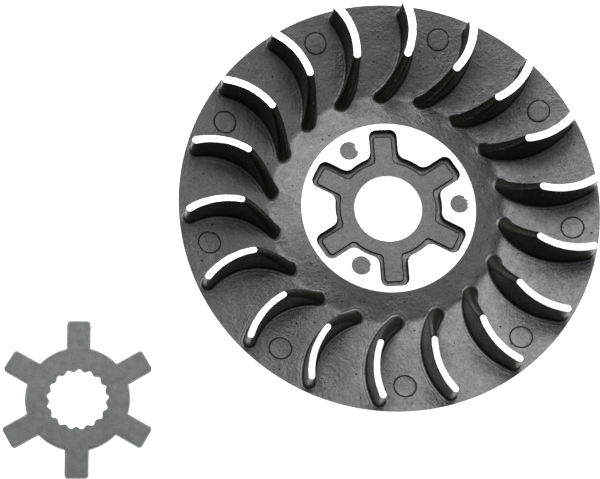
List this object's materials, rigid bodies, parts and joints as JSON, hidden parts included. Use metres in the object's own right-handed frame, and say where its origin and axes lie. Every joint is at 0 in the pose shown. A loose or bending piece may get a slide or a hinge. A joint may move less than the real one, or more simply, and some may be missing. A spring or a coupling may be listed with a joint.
{
  "type": "fan half pulley",
  "caption": "Dished aluminium half pulley of a scooter belt drive with curved cast fan blades, a star pocket in its hub and a separate star-shaped splined lock washer.",
  "frame": {"origin": "middle of the bore at the seat face, which is the plane the part stands on", "axes": "+Z along the pulley axis towards the fan side; the loose washer lies towards -X -Y"},
  "size_m": [0.1538, 0.1251, 0.0212],
  "materials": {
    "cast_aluminium": "dark blasted casting, bright machined hub face, blade tops, bore and rim",
    "washer_steel": "matte stamped steel"
  },
  "bodies": {
    "pulley": {"fan_half_pulley": "cast_aluminium"},
    "washer": {"star_washer": "washer_steel"}
  },
  "joints": [
    {"name": "washer_into_pocket", "type": "hinge", "parent": "pulley", "child": "washer", "pos_m": [-0.04003, -0.02492, 0.00455], "axis": [-0.5284, 0.849, 0], "range_deg": [0, 180]}
  ]
}
